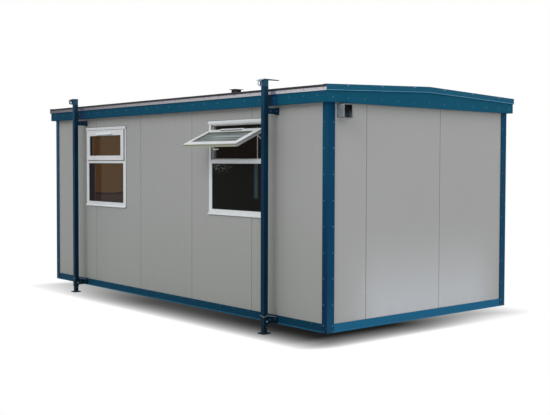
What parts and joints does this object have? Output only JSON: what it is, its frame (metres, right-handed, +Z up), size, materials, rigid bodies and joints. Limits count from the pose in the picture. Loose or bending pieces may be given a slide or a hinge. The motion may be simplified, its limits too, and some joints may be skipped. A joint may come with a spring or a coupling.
{
  "type": "portable site cabin",
  "caption": "Portable site cabin of insulated steel panels with a low gable felt roof, fanlight windows, a back door and telescopic corner jack legs with lifting eyes.",
  "frame": {"origin": "centre of the footprint on the ground plane under the feet (bottom centre of the bounding box)", "axes": "+X along the cabin towards the end with the vent box, -Y out of the wall with the windows, +Z up"},
  "size_m": [6.2976, 3.732, 2.9407],
  "materials": {
    "wall_coating": "satin plastisol coating on steel-faced insulated panels",
    "blue_paint": "dark blue satin paint on folded steel",
    "leg_paint": "dark blue gloss paint on square tube",
    "roof_timber": "timber roof deck, pale painted underside",
    "felt": "mineral surfaced bitumen felt",
    "galvanised": "weathered galvanised steel",
    "upvc": "white plastic window profile, semi-gloss",
    "glass": "clear sealed glass unit",
    "deck": "plywood floor",
    "steel_fitting": "bright steel fitting",
    "vent_plastic": "dark moulded vent",
    "door_paint": "dark blue satin paint on a steel door"
  },
  "bodies": {
    "cabin": {"back_door_panel": "wall_coating", "back_leg_sleeves": "leg_paint", "back_wall_panels": "wall_coating", "corner_flashings": "blue_paint", "door_frame": "door_paint", "door_handle": "steel_fitting", "door_leaf": "door_paint", "eave_drips": "galvanised", "eave_fascias": "blue_paint", "end_floor_beams": "blue_paint", "far_end_wall": "wall_coating", "fixed_glass": "glass", "floor_deck": "deck", "floor_joists": "galvanised", "front_leg_sleeves": "leg_paint", "front_wall_panel_1": "wall_coating", "front_wall_panel_2": "wall_coating", "front_wall_panel_3": "wall_coating", "front_wall_panel_4": "wall_coating", "front_wall_panel_5": "wall_coating", "gable_fascias": "blue_paint", "inlet_box": "galvanised", "left_window_frame": "upvc", "left_window_sash": "upvc", "long_floor_beams": "blue_paint", "lower_leg_brackets": "leg_paint", "near_end_wall": "wall_coating", "right_window_frame": "upvc", "right_window_sash": "upvc", "roof_felt": "felt", "roof_panels": "roof_timber", "roof_vent": "vent_plastic", "sash_glass": "glass", "sash_handles": "upvc", "sash_stays": "steel_fitting", "trickle_vents": "upvc", "upper_leg_brackets": "leg_paint", "verge_trims": "blue_paint", "window_head_trims": "upvc", "window_sills": "upvc"},
    "near_front_leg": {"near_front_inner_leg": "leg_paint"},
    "far_front_leg": {"far_front_inner_leg": "leg_paint"},
    "near_back_leg": {"near_back_inner_leg": "leg_paint"},
    "far_back_leg": {"far_back_inner_leg": "leg_paint"}
  },
  "joints": [
    {"name": "near_front_jack", "type": "slide", "parent": "cabin", "child": "near_front_leg", "axis": [0, 0, -1], "range_m": [0, 1.2]},
    {"name": "far_front_jack", "type": "slide", "parent": "cabin", "child": "far_front_leg", "axis": [0, 0, -1], "range_m": [0, 1.2]},
    {"name": "near_back_jack", "type": "slide", "parent": "cabin", "child": "near_back_leg", "axis": [0, 0, -1], "range_m": [0, 1.2]},
    {"name": "far_back_jack", "type": "slide", "parent": "cabin", "child": "far_back_leg", "axis": [0, 0, -1], "range_m": [0, 1.2]}
  ]
}
